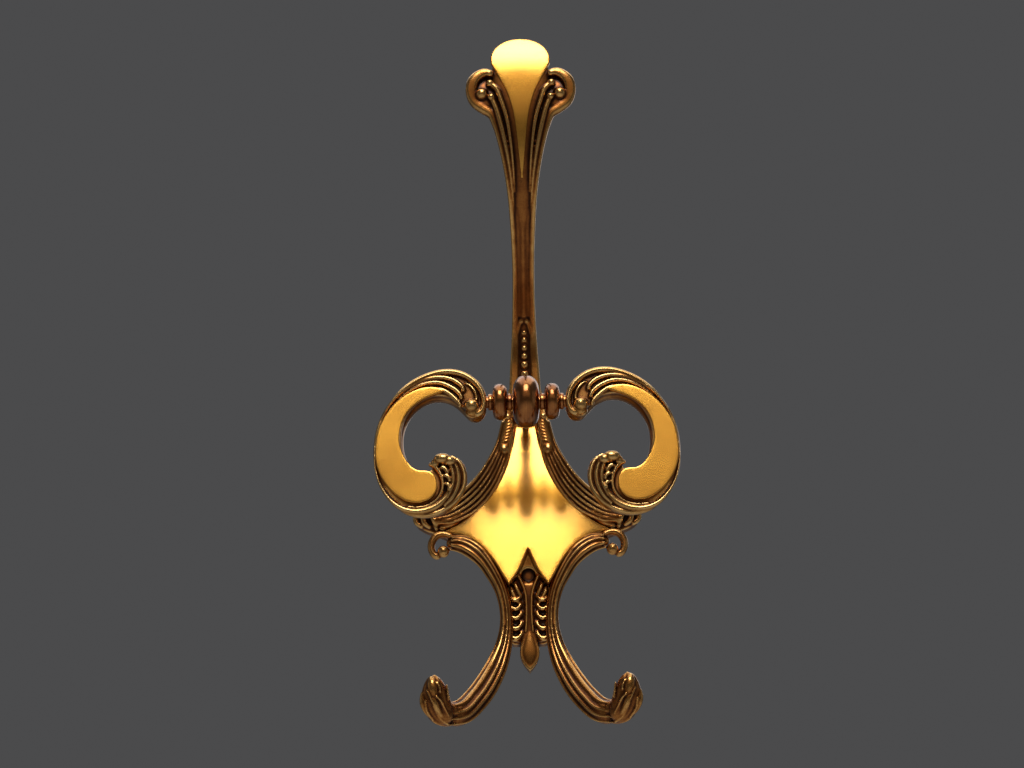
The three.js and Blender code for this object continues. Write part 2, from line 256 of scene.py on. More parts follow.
def finished_casting(name, casting, voxel, back_plane=None):
    """Fuses a casting, and stores on each point how far it stands out (1) or lies in a recess (0).

    Nothing of it is left behind back_plane, where there is one.
    """
    mesh = fused(name, casting.mesh(name), voxel * (1))
    edges = np.zeros(len(mesh.edges) * 2, int)
    mesh.edges.foreach_get("vertices", edges)
    edges = edges.reshape(-1, 2)
    points = relaxed(read(mesh), edges, 1)
    if back_plane is not None:
        points[:, 1] = np.minimum(points[:, 1], -back_plane)
    mesh.vertices.foreach_set("co", points.ravel())
    mesh.update()
    normals = read(mesh, "normal")
    near = np.einsum("ij,ij->i", points - relaxed(points, edges, NEAR_ROUNDS), normals)
    wide = np.einsum("ij,ij->i", points - relaxed(points, edges, WIDE_ROUNDS), normals)
    ridge = 0.5 + 0.2 * np.tanh(near / NEAR_HEIGHT) + 0.3 * np.tanh(wide / WIDE_HEIGHT)
    ridge = relaxed(ridge[:, None].repeat(3, 1), edges, 1)[:, 0]
    store = mesh.attributes.new("ridge", "FLOAT", "POINT")
    store.data.foreach_set("value", ridge.astype(np.float32))
    mesh.vertices.foreach_set("co", (points * MM).ravel())
    mesh.update()
    return link(name, mesh)


def smooth_piece(name, points, faces, sharp_degrees):
    """A piece that keeps its crisp edges, from points in millimetres."""
    mesh = bpy.data.meshes.new(name)
    mesh.from_pydata((np.asarray(points, float) * MM).tolist(), [], faces)
    work = bmesh.new()
    work.from_mesh(mesh)
    bmesh.ops.remove_doubles(work, verts=work.verts, dist=1e-7)
    bmesh.ops.recalc_face_normals(work, faces=work.faces)
    for face in work.faces:
        face.smooth = True
    for edge in work.edges:
        if edge.is_manifold and edge.calc_face_angle() > math.radians(sharp_degrees):
            edge.smooth = False
    work.to_mesh(mesh)
    work.free()
    return link(name, mesh)


# ---------------------------------------------------------------- materials

class Nodes:
    """Short hand for one material's node tree."""

    def __init__(self, name):
        self.material = bpy.data.materials.new(name)
        self.material.use_nodes = True
        self.tree = self.material.node_tree
        self.shader = self.tree.nodes["Principled BSDF"]

    def node(self, kind, inputs=(), **settings):
        made = self.tree.nodes.new(kind)
        for key, value in settings.items():
            setattr(made, key, value)
        for key, value in dict(inputs).items():
            if isinstance(value, bpy.types.NodeSocket):
                self.tree.links.new(value, made.inputs[key])
            else:
                made.inputs[key].default_value = value
        return made

    def math(self, operation, a, b):
        return self.node("ShaderNodeMath", {0: a, 1: b}, operation=operation).outputs[0]

    def sum(self, *values):
        total = values[0]
        for value in values[1:]:
            total = self.math("ADD", total, value)
        return total

    def share(self, value, amount):
        return self.math("MULTIPLY", value, amount)

    def ramp(self, factor, stops):
        """Colours, or plain numbers as greys, at places along a factor."""
        made = self.node("ShaderNodeValToRGB", {"Fac": factor})
        band = made.color_ramp
        while len(band.elements) < len(stops):
            band.elements.new(0.5)
        for element, (place, colour) in zip(band.elements, stops):
            element.position = place
            element.color = (*colour, 1) if isinstance(colour, tuple) else (colour, colour, colour, 1)
        return made.outputs["Color"]

    def mix(self, factor, a, b):
        made = self.node("ShaderNodeMix", data_type="RGBA")
        for key, value in (("Factor_Float", factor), ("A_Color", a), ("B_Color", b)):
            socket = next(s for s in made.inputs if s.identifier == key)
            if isinstance(value, bpy.types.NodeSocket):
                self.tree.links.new(value, socket)
            else:
                socket.default_value = value
        return next(s for s in made.outputs if s.identifier == "Result_Color")

    def noise(self, scale, stretch=(1, 1, 1), detail=3.0, roughness=0.5):
        coords = self.node("ShaderNodeTexCoord").outputs["Object"]
        place = self.node("ShaderNodeMapping", {"Vector": coords, "Scale": stretch}).outputs["Vector"]
        inputs = {"Vector": place, "Scale": scale, "Detail": detail, "Roughness": roughness}
        return self.node("ShaderNodeTexNoise", inputs).outputs["Fac"]

    def join(self, **sockets):
        names = {"colour": "Base Color", "roughness": "Roughness", "normal": "Normal"}
        for key, value in sockets.items():
            self.tree.links.new(value, self.shader.inputs[names[key]])
        return self.material

    def bump(self, height, distance, strength):
        inputs = {"Height": height, "Distance": distance, "Strength": strength}
        return self.node("ShaderNodeBump", inputs).outputs["Normal"]

    def set(self, values):
        for key, value in values.items():
            self.shader.inputs[key].default_value = value

    def lacquered_metal(self, coat, coat_roughness):
        self.set({"Metallic": 1.0, "Coat Weight": coat, "Coat Roughness": coat_roughness})


# Patina from the deepest recess to the most worn ridge, in a lit and a shaded copy: the golden one is paler
# as painted light, the brown one is darker all through as painted shade.
WEAR_PLACES = (0.14, 0.36, 0.53, 0.70, 0.88)
# Lit copy for the arms: its paler tones are painted light.
GOLDEN_LIT = (
    (0.010, 0.0032, 0.0012), (0.060, 0.020, 0.006), (0.225, 0.088, 0.022), (0.52, 0.255, 0.066),
    (0.84, 0.53, 0.20),
)
# Shaded copy for the plate and the hooks: its darker tones are painted shade.
BROWN_PAINTED_SHADE = (
    (0.016, 0.005, 0.0016), (0.062, 0.018, 0.0042), (0.225, 0.072, 0.014), (0.46, 0.185, 0.038),
    (0.78, 0.45, 0.145),
)
TARNISH = (0.10, 0.04, 0.013, 1)
BRUSHED_WARM, BRUSHED_PALE = (0.80, 0.36, 0.03), (0.87, 0.43, 0.05)


def antique_brass(name, tones, wear_and_light):
    """Patina left in the recesses, rubbed through to bright metal along the ridges. Each copy's tones and
    offset also paint how brightly the key light falls on its pieces.
    """
    n = Nodes(name)
    n.lacquered_metal(coat=0.2, coat_roughness=0.25)
    ridge = n.node("ShaderNodeAttribute", attribute_name="ridge").outputs["Fac"]
    cloud = n.share(n.math("SUBTRACT", n.noise(260, detail=4), 0.5), 0.20)
    grain = n.share(n.math("SUBTRACT", n.noise(1900, detail=2), 0.5), 0.12)
    worn = n.sum(ridge, wear_and_light, cloud, grain)
    colour = n.ramp(worn, list(zip(WEAR_PLACES, tones)))
    spots = n.ramp(n.noise(620, detail=2), [(0.62, 0.0), (0.74, 1.0)])
    colour = n.mix(n.share(spots, 0.35), colour, TARNISH)
    roughness = n.ramp(worn, [(0.2, 0.55), (0.5, 0.34), (0.85, 0.22)])
    height = n.sum(n.share(n.noise(900, detail=3), 0.6), n.share(n.noise(3200), 0.4))
    return n.join(colour=colour, roughness=roughness, normal=n.bump(height, distance=0.00005, strength=0.5))


def brushed_brass(name):
    """Satin metal with fine level brush lines under clear lacquer."""
    n = Nodes(name)
    n.lacquered_metal(coat=1.0, coat_roughness=0.2)
    n.set({"Coat IOR": 1.55, "Anisotropic": 0.6, "Anisotropic Rotation": 0.25})
    lines = n.noise(90, stretch=(0.22, 22, 22), detail=6, roughness=0.7)
    fine = n.noise(240, stretch=(0.15, 26, 26), detail=3, roughness=0.8)
    cloud = n.noise(70, detail=3)
    tone = n.sum(n.share(lines, 0.55), n.share(cloud, 0.45))
    colour = n.ramp(tone, [(0.30, BRUSHED_WARM), (0.72, BRUSHED_PALE)])
    roughness = n.ramp(n.sum(n.share(fine, 0.5), n.share(cloud, 0.5)), [(0.3, 0.18), (0.7, 0.26)])
    height = n.sum(n.share(lines, 0.5), n.share(fine, 0.5))
    return n.join(colour=colour, roughness=roughness, normal=n.bump(height, distance=0.00003, strength=0.16))


def turned_brass(name):
    """Lathe-turned, copper-brown, with faint rings round the crossbar's axis."""
    n = Nodes(name)
    n.lacquered_metal(coat=0.6, coat_roughness=0.18)
    rings = n.noise(160, stretch=(26, 0.4, 0.4), detail=4)
    cloud = n.noise(190, detail=4)
    tone = n.sum(n.share(rings, 0.4), n.share(cloud, 0.6))
    stops = [(0.32, (0.17, 0.048, 0.009)), (0.52, (0.37, 0.130, 0.025)), (0.74, (0.60, 0.26, 0.060))]
    colour = n.ramp(tone, stops)
    roughness = n.ramp(tone, [(0.35, 0.27), (0.7, 0.18)])
    return n.join(colour=colour, roughness=roughness, normal=n.bump(rings, distance=0.00002, strength=0.4))


def plain_steel(name):
    """Dull steel with faint streaks along a screw's length."""
    n = Nodes(name)
    n.set({"Metallic": 1.0})
    streaks = n.noise(420, stretch=(8, 1, 8), detail=4)
    cloud = n.noise(300, detail=4)
    colour = n.ramp(cloud, [(0.35, (0.20, 0.17, 0.14)), (0.65, (0.50, 0.47, 0.43))])
    roughness = n.ramp(streaks, [(0.3, 0.30), (0.7, 0.48)])
    return n.join(colour=colour, roughness=roughness, normal=n.bump(streaks, distance=0.00003, strength=0.4))


# The arms take the lit copy, whose higher offset paints them lighter still.
ANTIQUE = antique_brass("antique_brass", GOLDEN_LIT, wear_and_light=0.10)
# The plate and the hooks take the shaded copy, whose lower offset adds to the painted shade.
ANTIQUE_PAINTED_SHADE = antique_brass("antique_brass_painted_shade", BROWN_PAINTED_SHADE, wear_and_light=0.05)
POLISHED = brushed_brass("polished_brass")
COPPERED = turned_brass("turned_brass")
STEEL = plain_steel("screw_steel")


def hand_in(obj, material, body, slot, *nodes):
    """Gives a piece its looks, ties it to its CAD body, and hides the CAD nodes it stands for. The slot is
    not used.
    """
    obj.data.materials.clear()
    obj.data.materials.append(material)
    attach(obj, body)
    if nodes:
        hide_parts(*nodes)
    return obj


# ---------------------------------------------------------------- side arms

# Outline of a side arm from the front: the C's outside, the tip of its leaf, its inside and the scroll's eye.
ARM_OUTER = [
    (13.0, 32.5), (13.4, 37.6), (16.1, 41.3), (20.0, 43.6), (25.1, 44.5), (30.8, 43.9), (36.5, 41.7),
    (42.0, 38.0), (46.5, 32.5), (49.7, 25.8), (50.9, 18.6), (50.5, 11.1), (48.1, 4.2), (44.0, -1.5),
    (38.5, -5.2), (32.4, -6.3), (26.9, -4.8), (22.6, -1.3), (20.2, 3.6), (19.6, 8.5), (21.0, 12.5),
    (24.1, 14.6),
]
ARM_LEAF = [(24.1, 14.6), (27.6, 14.4), (29.8, 12.4), (31.0, 10.4)]
ARM_INNER = [
    (31.0, 10.4), (33.0, 8.7), (35.9, 9.0), (38.4, 11.8), (40.1, 15.8), (40.6, 19.9), (40.0, 24.6),
    (37.9, 29.0), (34.7, 32.3), (31.0, 34.0), (26.9, 33.9), (23.4, 32.0), (20.9, 29.4),
]
ARM_EYE = [(20.9, 29.4), (18.3, 27.0), (15.1, 27.2), (13.3, 29.7), (13.0, 32.5)]
# The polished crescent on the arm's face: its outside, its blunt foot and its inside.
CRESCENT_OUTER = [
    (26.9, 36.2), (28.6, 37.1), (31.4, 37.6), (34.8, 37.2), (38.4, 35.8), (42.2, 33.2), (45.9, 29.0),
    (48.6, 23.6), (49.7, 17.7), (49.5, 11.5), (47.2, 5.4), (43.3, 0.5), (38.2, -2.4), (35.0, -2.7),
]
CRESCENT_END = [(35.0, -2.7), (31.8, -1.5), (29.8, 1.0), (29.4, 4.0), (30.3, 6.6), (31.9, 8.0)]
CRESCENT_INNER = [
    (31.9, 8.0), (33.6, 8.3), (35.5, 8.4), (37.4, 9.4), (39.2, 11.6), (40.8, 14.6), (41.7, 17.8),
    (41.7, 21.6), (40.9, 25.4), (39.1, 28.9), (36.4, 31.7), (33.1, 33.8), (30.0, 35.0), (26.9, 36.2),
]
# The ribs and beads are drawn on a plane 10 mm behind the arm's face. From the camera, that plane covers
# the face once it is scaled and lowered by these.
ARM_SCALE, ARM_DROP = 0.982, 3.2
ARM_BACK, ARM_FACE = 36.0, 42.9
CRESCENT_DEPTH = 44.3
# Each rib: its points, its depth, its half widths from end to end, and its half height.
ARM_RIBS = [
    # The rim over the arch and into the scroll.
    ([
        (48.6, 30.6), (46.4, 34.8), (42.8, 39.6), (38, 43.5), (33, 46.0), (28, 47.2), (23.5, 46.9),
        (19.4, 45.1), (16.2, 42.1), (14.5, 38.6), (14.2, 35.4), (15.4, 32.5), (17.6, 31.3),
    ], 43.2, (0.25, 0.6, 1.0, 1.05, 1.1, 1.05, 0.95, 1.0, 1.2), 1.25),
    ([
        (45.6, 35.6), (42, 39.6), (38.5, 42.3), (34.5, 44.3), (30, 45.2), (26.2, 44.8), (23.2, 43.3),
        (21.5, 41.5), (21.0, 39.8),
    ], 43.1, (0.2, 0.6, 0.8, 0.8, 0.75), 1.2),
    ([
        (43, 37.4), (40, 40.0), (36.5, 42.1), (33, 43.2), (29, 43.2), (26, 42.0), (23.6, 40.4),
        (22.1, 38.6), (21.7, 37.0),
    ], 43.1, (0.2, 0.6, 0.8, 0.8, 0.7), 1.2),
    ([
        (33, 41.2), (30.5, 41.3), (28.2, 40.7), (26.2, 39.5), (24.2, 37.7), (22.7, 36.0), (22.0, 34.4),
    ], 43.0, (0.3, 0.75, 0.8, 0.65), 1.1),
    # The scroll's inner turn.
    ([(20.8, 43.4), (18.9, 42.2), (17.4, 40.2), (16.7, 37.8), (17.0, 35.6)], 42.8, (0.35, 0.55, 0.5), 1.1),
    # The rims round the foot of the C.
    ([
        (50.9, 21), (50.7, 14.0), (49.3, 8.4), (46.6, 3.4), (42.8, -0.4), (38.4, -2.1), (33.8, -1.9),
        (29.8, -0.1), (27.1, 2.5), (25.8, 5.0),
    ], 42.9, (0.2, 0.4, 0.5, 0.8, 1.15, 1.2, 0.9), 1.25),
    ([
        (44.4, 1.8), (43.0, 0.0), (40.8, -1.7), (38.0, -2.9), (34.2, -3.4), (28.4, -1.8), (24.2, 1.4),
        (21.5, 5.6), (20.9, 10), (21.9, 13.8), (24, 16.4),
    ], 42.1, (0.25, 0.7, 0.8, 0.85, 0.85, 0.8), 1.3),
    ([
        (40, -0.5), (36.2, -0.9), (32.4, -0.1), (29.7, 2.2), (28.2, 5.4), (28.2, 8.6), (29.3, 11.5),
        (31.0, 13.4), (32.8, 14.2),
    ], 43.3, (0.25, 0.45, 0.55, 0.65, 0.75, 0.7), 1.15),
    # The leaf's own ribs.
    ([
        (27.8, -0.6), (25.2, 2.0), (23.5, 5.4), (22.9, 9), (23.3, 12), (24.6, 15),
    ], 43.2, (0.4, 0.8, 0.85, 0.8), 1.25),
    ([
        (26.6, 2.0), (25.2, 5.2), (24.6, 8.6), (24.9, 11.6), (25.9, 14.4),
    ], 43.5, (0.35, 0.7, 0.75, 0.7), 1.2),
]
# Overlapping lobes down the middle of the leaf, then the tip that curls over at its top.
ARM_LOBES = [
    ([(29.0, 12.8), (27.8, 12.6), (26.8, 11.6), (26.3, 10.2)], 43.7, (0.6, 0.9, 0.7), 1.1),
    ([(27.9, 9.9), (26.9, 9.8), (26.0, 8.9), (25.7, 7.6)], 43.7, (0.55, 0.85, 0.6), 1.1),
    ([(27.4, 7.0), (26.6, 6.9), (25.9, 6.2), (25.7, 5.2)], 43.7, (0.5, 0.8, 0.6), 1.1),
    ([(30.8, 15.2), (29, 14.8), (27.4, 14.6), (26, 15.0)], 43.8, (0.6, 1.0, 0.9), 1.4),
]
# Each bead: x, z, depth, radius and stretch.
ARM_BEADS = [
    (28.2, 15.7, 44.2, 2.3, (1.25, 0.8, 0.8)),
    (25.8, 14.9, 44.1, 1.8, (1.1, 0.95, 0.9)),
    (30.6, 14.4, 43.7, 1.4, (1.0, 1.1, 0.9)),
    (25.7, 5.2, 43.8, 1.0, (1, 1, 1)),
    (18.4, 34.7, 43.2, 2.5, (1, 1, 1)),
    (17.4, 32.9, 42.2, 2.7, (1.25, 0.85, 0.9)),
]


def on_arm(x, z):
    """Place on the arm's face of a point that is drawn on the plane behind it."""
    return x * ARM_SCALE, z * ARM_SCALE - ARM_DROP


def at_arm(points, depth, widths, high):
    """Rows of a rib on the arm's face. Widths run from end to end, and narrow parts sink in."""
    wide = np.interp(np.linspace(0, 1, len(points)), np.linspace(0, 1, len(widths)), widths)
    sink = np.clip(0.75 - wide, 0, 1) * 0.5
    return [
        (*on_arm(x, z), depth - s, w, high * min(1, 0.4 + w)) for (x, z), w, s in zip(points, wide, sink)
    ]


def inward(edge):
    """Unit directions that point into an outline at each of its points."""
    p = np.array(edge)
    run = np.roll(p, -1, 0) - np.roll(p, 1, 0)
    area = 0.5 * np.sum(p[:, 0] * np.roll(p[:, 1], -1) - np.roll(p[:, 0], -1) * p[:, 1])
    normal = np.column_stack([-run[:, 1], run[:, 0]]) * np.sign(area)
    return normal / np.linalg.norm(normal, axis=1)[:, None]


def shrunk(edge, by):
    """An outline drawn in by that much."""
    return [tuple(p) for p in np.array(edge) + by * inward(edge)]


def side_arm(side):
    c = Casting()
    body = outline(ARM_OUTER, ARM_LEAF, ARM_INNER, ARM_EYE)
    c.slab(shrunk(body, 0.8), ARM_BACK, ARM_FACE, side=side)
    # Rounded flanks, all round the C.
    loop = shrunk(body, 1.7)[::4]
    c.stroke(*[(x, z, 38.9, 1.5, 3.3) for x, z in [*loop, loop[0], loop[1]]], side=side, sides=14)
    # Bed of the leaf.
    c.stroke((27.4, 9.6, 41.6, 2.6, 2.0), (25.8, 5.2, 41.6, 2.9, 2.1), (26.4, 0.6, 41.4, 2.6, 1.9), side=side)
    for points, depth, widths, high in ARM_RIBS + ARM_LOBES:
        c.stroke(*at_arm(points, depth, widths, high), side=side)
    for x, z, depth, radius, stretch in ARM_BEADS:
        c.ball(*on_arm(x, z), depth, radius, side, stretch)
    return c


def crowned_plate(name, edge, place, soft, back, cell=0.7, side=1):
    """A polished plate with softly rounded edges, filled with triangles of about that cell size.

    place(x, z, drop) gives the point that far under the plate's face.
    """
    p = np.array(edge)
    into = inward(edge)
    points, faces = [], []
    # How far in from the edge each ring lies, and how far under the face.
    rings = [
        (0.0, back), (0.0, 0.45 * soft), (0.12 * soft, 0.2 * soft), (0.4 * soft, 0.05 * soft), (soft, 0.0),
    ]
    for step, drop in rings:
        points += [place(x, z, drop) for x, z in p + into * step]
    n, m = len(p), len(rings)
    for i in range(m - 1):
        for j in range(n):
            k = (j + 1) % n
            faces.append((i * n + j, i * n + k, (i + 1) * n + k, (i + 1) * n + j))
    flat = [Vector((x, z, 0)) for x, z in p + into * rings[-1][0]]
    work = bmesh.new()
    top = [work.verts.new(v) for v in flat]
    for tri in tessellate_polygon([flat]):
        work.faces.new([top[i] for i in tri])
    for _ in range(6):
        long = [e for e in work.edges if e.calc_length() > 2.2 * cell and not e.is_boundary]
        if not long:
            break
        bmesh.ops.subdivide_edges(work, edges=long, cuts=1)
        bmesh.ops.triangulate(work, faces=work.faces)
        bmesh.ops.beautify_fill(work, faces=work.faces, edges=[e for e in work.edges if not e.is_boundary])
    work.verts.index_update()
    start = len(points)
    points += [place(v.co.x, v.co.y, 0.0) for v in work.verts]
    faces += [tuple(start + v.index for v in f.verts) for f in work.faces]
    work.free()
    faces += [tuple(tri) for tri in tessellate_polygon([[Vector((x, z, 0)) for x, z in edge]])]
    return smooth_piece(name, [(side * x, y, z) for x, y, z in points], faces, 60)


def crescent_point(x, z, drop):
    return (x, -(CRESCENT_DEPTH - drop), z)


for word, side in SIDES:
    arm = finished_casting(f"side_arm_{word}_casting", side_arm(side), ARM_VOXEL)
    hand_in(arm, ANTIQUE, f"arm_{word}", "antique_brass", f"side_arm_{word}")
    crescent = crowned_plate(
        f"side_arm_{word}_crescent",
        outline(CRESCENT_OUTER, CRESCENT_END, CRESCENT_INNER),
        crescent_point,
        soft=0.5,
        back=1.6,
        side=side,
    )
    hand_in(crescent, POLISHED, f"arm_{word}", "polished_brass")


# ---------------------------------------------------------------- back plate and shield

# Right half of the shield, from the top down: top, long side, corner, lower side and the notch at its foot.
SHIELD = [
    [(0, 38.4), (3.5, 38.4)],
    [
        (3.5, 38.4), (4.2, 34.6), (5.3, 30.2), (7.4, 24.6), (10.4, 18.0), (13.8, 11.6), (18.6, 5.4),
        (23.2, 1.6), (28.4, -1.0),
    ],
    [(28.4, -1.0), (28.4, -1.5)],
    [(28.4, -1.5), (23.4, -2.5), (18.6, -5.2), (14.0, -9.6), (10.6, -14.5), (8.3, -18.7), (6.7, -21.2)],
    [(6.7, -21.2), (3.8, -17.2), (1.7, -12.6), (0, -8.4)],
]
# Right half of the back plate, from the top down.
PLATE = [
    [(0, 55), (5.2, 53), (6.6, 46), (8.6, 39)],
    [(8.6, 39), (11, 30.5), (14, 24), (18.4, 17.6), (24, 12.6), (31, 8.8), (36.4, 7.6)],
    [(36.4, 7.6), (39.2, 6), (38.4, 2.6), (35.4, 0.2), (31.6, -1.2)],
    [
        (31.6, -1.2), (28.2, -2.6), (25.4, -4.6), (20.6, -7.2), (16.0, -10.2), (12.8, -14.2),
        (10.5, -18.8), (9.4, -24), (9.3, -33), (8.0, -38.4),
    ],
    [(8.2, -38.4), (4.6, -40.4), (2.8, -40.2)],
    [(2.8, -40.2), (3.3, -43.6), (2.2, -46.6), (0, -49.6)],
]
# Where the screws come through the plate: the hub's height, and each hook's pair as (name, x, z).
HUB_SCREW_HEIGHT = 38
HOOK_SCREWS = (("upper", 20.2, -5.0), ("lower", 6.9, -33.0))
SCREW_HOLE = circle(0, -16.7, 2.4)


def keyhole(z=13.0, head=4.2, slot=2.3, rise=8.0):
    """The hole for a screw's head below, and the slot for its shank above."""
    opening = 2.56
    low = [(head * math.sin(a), z - head * math.cos(a)) for a in np.linspace(-opening, opening, 26)]
    high = [(slot * math.cos(a), z + rise + slot * math.sin(a)) for a in np.linspace(0, math.pi, 14)]
    return low + high


RAIL = [(7.5, 39), (9.4, 30.6), (12.4, 23.8), (16.6, 17.2), (22.0, 11.6), (28.2, 7.2), (34.0, 4.4)]
RAIL_SPREAD = (0.52, 0.76, 1.0, 1.2, 1.3, 1.1, 0.6)
# Each flute: how far out from the rail's line it runs, its depth and its half width.
FLUTES = (
    (0.9, 6.9, 0.72), (-0.5, 7.4, 0.52), (-1.75, 7.6, 0.52), (-3.0, 7.6, 0.52), (-4.2, 7.4, 0.52),
    (-5.3, 7.1, 0.5),
)
# The neck leaf: x, z and half width, from its head to its foot.
NECK_LEAF = [
    (6.0, 40.0, 1.0), (6.0, 37.4, 1.7), (6.4, 34.2, 2.1), (7.1, 31.0, 2.1), (7.8, 28.4, 1.7),
    (8.1, 26.4, 0.8),
]
# Curls at the outer end, as (x, z, depth, half width).
CURLS = (
    ((25.0, 6.8, 7.0, 0.6), (28.8, 6.4, 7.0, 1.0), (31.4, 4.4, 6.6, 0.9), (30.8, 2.4, 6.3, 0.6)),
    ((26.6, 2.4, 6.8, 0.5), (29.4, 2.4, 6.9, 0.9), (31.6, 0.8, 6.5, 0.8), (31.0, -0.6, 6.2, 0.5)),
    ((32.6, 7.0, 6.2, 0.6), (35.6, 5.4, 6.4, 1.15), (35.6, 2.6, 6.2, 1.05), (33.2, 0.4, 5.8, 0.6)),
    ((34.6, 7.6, 5.3, 0.5), (38.0, 6.0, 5.4, 1.2), (38.4, 3.0, 5.2, 1.0), (36.2, 0.8, 5.0, 0.5)),
    ((22.6, 5.4, 7.4, 0.4), (24.8, 5.0, 7.4, 0.7), (26.0, 3.8, 7.1, 0.6)),
)


def rail(c, side):
    """Fluted rail down one side of the shield, ending in the flourish."""
    line, spread = np.array(RAIL), np.array(RAIL_SPREAD)
    run = np.gradient(line, axis=0)
    outwards = np.column_stack([-run[:, 1], run[:, 0]]) / np.linalg.norm(run, axis=1)[:, None]
    for offset, depth, wide in FLUTES:
        flute = line + outwards * (offset * spread)[:, None]
        rows = [
            (x, z, depth - 0.4 * (k / 6) ** 2, wide * (0.6 + 0.4 * s), 1.25)
            for k, ((x, z), s) in enumerate(zip(flute, spread))
        ]
        c.stroke(*rows, side=side)
    c.stroke(
        (17.6, 7.8, 6.2, 0.8, 1.2), (22.6, 3.9, 6.4, 1.2, 1.2), (27.0, 1.6, 6.3, 1.4, 1.1),
        (30.4, 0.4, 5.8, 1.0, 1.0), side=side,
    )
    # Solid bed under the flutes.
    bed = line - outwards * (2.2 * spread)[:, None]
    c.stroke(*[(x, z, 4.7, 4.0 * s, 2.2) for (x, z), s in zip(bed, spread)], side=side, sides=16)
    c.ball(33.4, 4.4, 4.6, 4.8, side, (1.1, 0.85, 0.36))
    # Leaf where the rail meets the neck, with slanting cuts across it and a bead at each end.
    leaf = np.array(NECK_LEAF)
    c.stroke(*[(x, z, 7.7, w, 1.2) for x, z, w in leaf], side=side, sides=20, square=0.6)
    for z in np.arange(39.4, 29.8, -1.2):
        x, w = [np.interp(z, leaf[::-1, 1], leaf[::-1, k]) for k in (0, 2)]
        cut = (x - w, z + 0.9, 8.2, 0.3, 0.4), (x, z, 8.75, 0.32, 0.45), (x + w, z - 1.2, 8.2, 0.3, 0.4)
        c.stroke(*cut, side=side, sides=8)
    c.ball(7.7, 28.2, 8.2, 1.8, side, (0.9, 1.15, 0.6))
    c.ball(6.2, 40.2, 8.4, 1.25, side)
    for curl in CURLS:
        c.stroke(*[(x, z, d, w, 1.1) for x, z, d, w in curl], side=side)
    c.ball(25.0, 7.4, 7.2, 0.8, side)


# Right edge of the plain rib down the middle of the drop leaf, and of the spear at its foot.
VEIN = [
    (2.9, -18.0), (2.0, -20.2), (1.25, -22.8), (0.9, -26.2), (0.95, -32), (1.25, -36.4), (2.4, -39.4),
    (3.3, -42.6), (3.0, -45.4), (1.7, -48.0), (0, -49.8),
]


def drop_leaf(c):
    """Gadrooned leaf below the shield, with a plain spear at its foot, and the bed of the screw hole."""
    notch = [
        [(0, -6.6), (2.2, -12.6), (4.4, -17.2), (7.4, -21.4)],
        [(7.4, -21.4), (7.2, -38.2)],
        [(7.2, -38.2), (4.0, -39.8), (0, -39.8)],
    ]
    c.slab(outline(*both_sides(*notch)), 3.0, 5.5, [SCREW_HOLE])
    bed = [[(0, -7.4), (1.8, -12.6), (3.7, -16.6), (4.4, -18.4)], [(4.4, -18.4), (2.6, -21.6), (0, -23)]]
    c.slab(outline(*both_sides(*bed)), 4.8, 5.9, [SCREW_HOLE])
    c.slab(outline(*both_sides([(0, -20.0), (2.4, -19.2), (2.9, -18.0)], VEIN)), 3.0, 6.2)
    for side in (-1, 1):
        # Edge of the plain rib down the middle, and the two leaflets under the screw hole.
        edge = [(x, z, 6.15, 0.3, 0.42) for x, z in VEIN[:6]]
        c.stroke((3.9, -16.2, 5.9, 0.35, 0.6), *edge, side=side, sides=8)
        c.stroke(
            (6.4, -20.4, 5.6, 0.6, 0.9), (5.5, -23.0, 5.9, 0.9, 1.0), (4.0, -25.6, 5.8, 0.7, 0.9),
            (2.4, -27.6, 5.4, 0.4, 0.6), side=side,
        )
        c.stroke(
            (4.9, -19.0, 5.7, 0.5, 0.9), (4.0, -21.6, 6.0, 0.8, 1.0), (2.6, -24.6, 5.8, 0.6, 0.9), side=side
        )
        # Scallops, each with a fine vein beside it.
        for k, bottom in enumerate((-26.2, -29.2, -32.4, -36.0, -39.4)):
            size = 0.80 + 0.05 * k
            c.stroke(
                (2.6, bottom + 3.6, 5.3, 0.35 * size, 0.7),
                (3.1, bottom + 1.7, 5.6, 0.75 * size, 1.0),
                (4.3, bottom + 0.6, 5.9, 1.0 * size, 1.2),
                (5.7, bottom + 0.9, 5.8, 0.95 * size, 1.2),
                (6.5, bottom + 2.4, 5.4, 0.6 * size, 0.9),
                side=side,
            )
            c.stroke(
                (1.5, bottom + 5.2, 5.4, 0.25, 0.5),
                (2.1, bottom + 2.2, 5.5, 0.3, 0.5),
                (3.0, bottom + 0.2, 5.4, 0.25, 0.5),
                side=side, sides=8,
            )
    # Spear at the foot.
    c.stroke(
        (0, -35.6, 5.4, 0.7, 0.8), (0, -40.2, 5.6, 2.3, 1.0), (0, -43.6, 5.6, 2.9, 1.1),
        (0, -46.6, 5.4, 2.0, 1.0), (0, -49, 5.0, 0.6, 0.8), sides=18,
    )


def back_plate():
    c = Casting()
    edge = outline(*both_sides(*PLATE))
    inner = outline(*both_sides(*SHIELD))
    heads = [circle(side * x, z, 2.0) for _, x, z in HOOK_SCREWS for side in (-1, 1)]
    heads = [circle(0, HUB_SCREW_HEIGHT, 2.1), *heads]
    # Three layers from the wall outwards: screw heads sunk in the first, the shield's seat in the last.
    c.slab(edge, 0, 1.8, [SCREW_HOLE, keyhole(), *heads])
    c.slab(edge, 1.7, 3.3, [SCREW_HOLE, keyhole()])
    c.slab(edge, 3.2, 4.5, [inner])
    rail(c, -1)
    rail(c, 1)
    drop_leaf(c)
    c.stroke((0, 54, 2.6, 5.0, 2.2), (0, 44, 2.6, 5.6, 2.2))
    return c


def shield_point(x, z, drop):
    """The shield leans out towards its foot, and falls away to its sides."""
    lean, fall = 0.114 * z, x * x / 360.0
    return (x, -(9.2 - lean - fall - drop), z)


